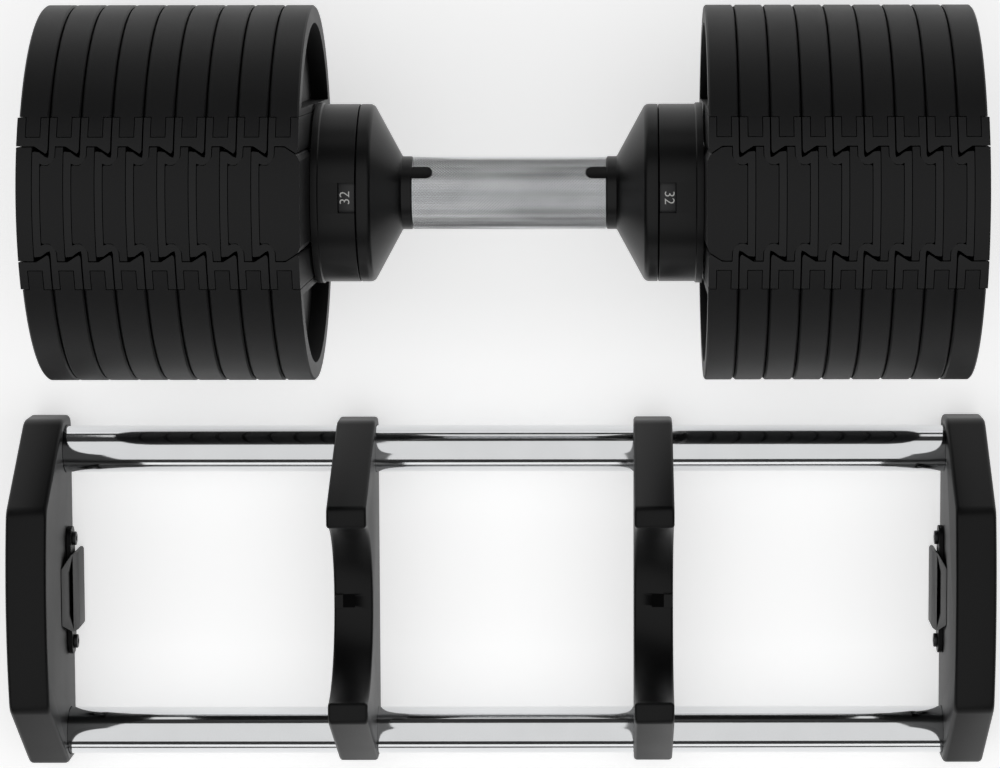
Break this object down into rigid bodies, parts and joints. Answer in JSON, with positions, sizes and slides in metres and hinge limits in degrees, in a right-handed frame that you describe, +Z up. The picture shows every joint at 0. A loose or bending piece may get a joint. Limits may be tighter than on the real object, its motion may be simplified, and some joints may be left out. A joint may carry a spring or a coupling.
{
  "type": "adjustable dumbbell",
  "caption": "Adjustable dumbbell with twist-grip weight selection, and the rack-like cradle that it is stored and set in.",
  "frame": {"origin": "on the floor, at the middle of the rectangle that the dumbbell and its cradle stand on", "axes": "+Z up; X along the dumbbell's handle and the cradle's bars; the cradle stands on the -Y side and the dumbbell on the +Y side"},
  "size_m": [0.458, 0.3634, 0.17],
  "materials": {
    "plate_steel": "black coated steel, satin with a fine texture",
    "frame_nylon": "black glass-filled nylon, fine satin",
    "housing_plastic": "black moulded plastic, semi-gloss",
    "dial_plastic": "black moulded plastic with white numerals",
    "grip_chrome": "bright chrome over a diamond knurl",
    "bar_chrome": "polished chrome",
    "machined_steel": "machined, lightly oiled",
    "spring_steel": "drawn spring wire",
    "cradle_plastic": "black moulded plastic, satin",
    "foot_rubber": "black rubber"
  },
  "bodies": {
    "cradle": {"cradle_left_end": "cradle_plastic", "cradle_left_saddle": "cradle_plastic", "cradle_left_guide": "cradle_plastic", "cradle_left_foot": "foot_rubber", "cradle_right_end": "cradle_plastic", "cradle_right_saddle": "cradle_plastic", "cradle_right_guide": "cradle_plastic", "cradle_right_foot": "foot_rubber", "cradle_rear_bar": "bar_chrome", "cradle_front_bar": "bar_chrome"},
    "dumbbell": {"plate_left_1": "plate_steel", "plate_left_2": "plate_steel", "plate_left_3": "plate_steel", "plate_left_4": "plate_steel", "plate_left_5": "plate_steel", "plate_left_6": "plate_steel", "plate_left_7": "plate_steel", "plate_left_8": "plate_steel", "plate_left_9": "plate_steel", "plate_right_1": "plate_steel", "plate_right_2": "plate_steel", "plate_right_3": "plate_steel", "plate_right_4": "plate_steel", "plate_right_5": "plate_steel", "plate_right_6": "plate_steel", "plate_right_7": "plate_steel", "plate_right_8": "plate_steel", "plate_right_9": "plate_steel", "plate_frame_left_1": "frame_nylon", "plate_frame_left_2": "frame_nylon", "plate_frame_left_3": "frame_nylon", "plate_frame_left_4": "frame_nylon", "plate_frame_left_5": "frame_nylon", "plate_frame_left_6": "frame_nylon", "plate_frame_left_7": "frame_nylon", "plate_frame_left_8": "frame_nylon", "plate_frame_left_9": "frame_nylon", "plate_frame_right_1": "frame_nylon", "plate_frame_right_2": "frame_nylon", "plate_frame_right_3": "frame_nylon", "plate_frame_right_4": "frame_nylon", "plate_frame_right_5": "frame_nylon", "plate_frame_right_6": "frame_nylon", "plate_frame_right_7": "frame_nylon", "plate_frame_right_8": "frame_nylon", "plate_frame_right_9": "frame_nylon", "left_housing": "housing_plastic", "left_lock_spring": "spring_steel", "right_housing": "housing_plastic", "right_lock_spring": "spring_steel"},
    "handle": {"grip_tube": "grip_chrome", "cam_sleeve": "machined_steel", "left_cone_collar": "housing_plastic", "left_number_ring": "dial_plastic", "right_cone_collar": "housing_plastic", "right_number_ring": "dial_plastic"},
    "left_selector": {"left_selector_shaft": "machined_steel"},
    "right_selector": {"right_selector_shaft": "machined_steel"},
    "left_lock": {"left_lock_pin": "machined_steel"},
    "right_lock": {"right_lock_pin": "machined_steel"}
  },
  "joints": [
    {"name": "dumbbell_lift", "type": "slide", "parent": "cradle", "child": "dumbbell", "axis": [0, 0, 1], "range_m": [0, 0.25]},
    {"name": "grip_turn", "type": "hinge", "parent": "dumbbell", "child": "handle", "pos_m": [0.005, 0.09675, 0.085], "axis": [1, 0, 0], "range_deg": [0, 337.5]},
    {"name": "left_selector_slide", "type": "slide", "parent": "dumbbell", "child": "left_selector", "axis": [1, 0, 0], "range_m": [0, 0.1006]},
    {"name": "right_selector_slide", "type": "slide", "parent": "dumbbell", "child": "right_selector", "axis": [-1, 0, 0], "range_m": [0, 0.1006]},
    {"name": "left_lock_slide", "type": "slide", "parent": "dumbbell", "child": "left_lock", "axis": [0, 0, 1], "range_m": [-0.0022, 0.0008], "stiffness_N_per_m": 300, "springref_m": -0.0022, "deforming": ["left_lock_spring"]},
    {"name": "right_lock_slide", "type": "slide", "parent": "dumbbell", "child": "right_lock", "axis": [0, 0, 1], "range_m": [-0.0022, 0.0008], "stiffness_N_per_m": 300, "springref_m": -0.0022, "deforming": ["right_lock_spring"]}
  ],
  "couplings": [
    {"joint": "left_selector_slide", "follows": "grip_turn", "m_per_rad": 0.017061},
    {"joint": "right_selector_slide", "follows": "grip_turn", "m_per_rad": 0.017061}
  ]
}
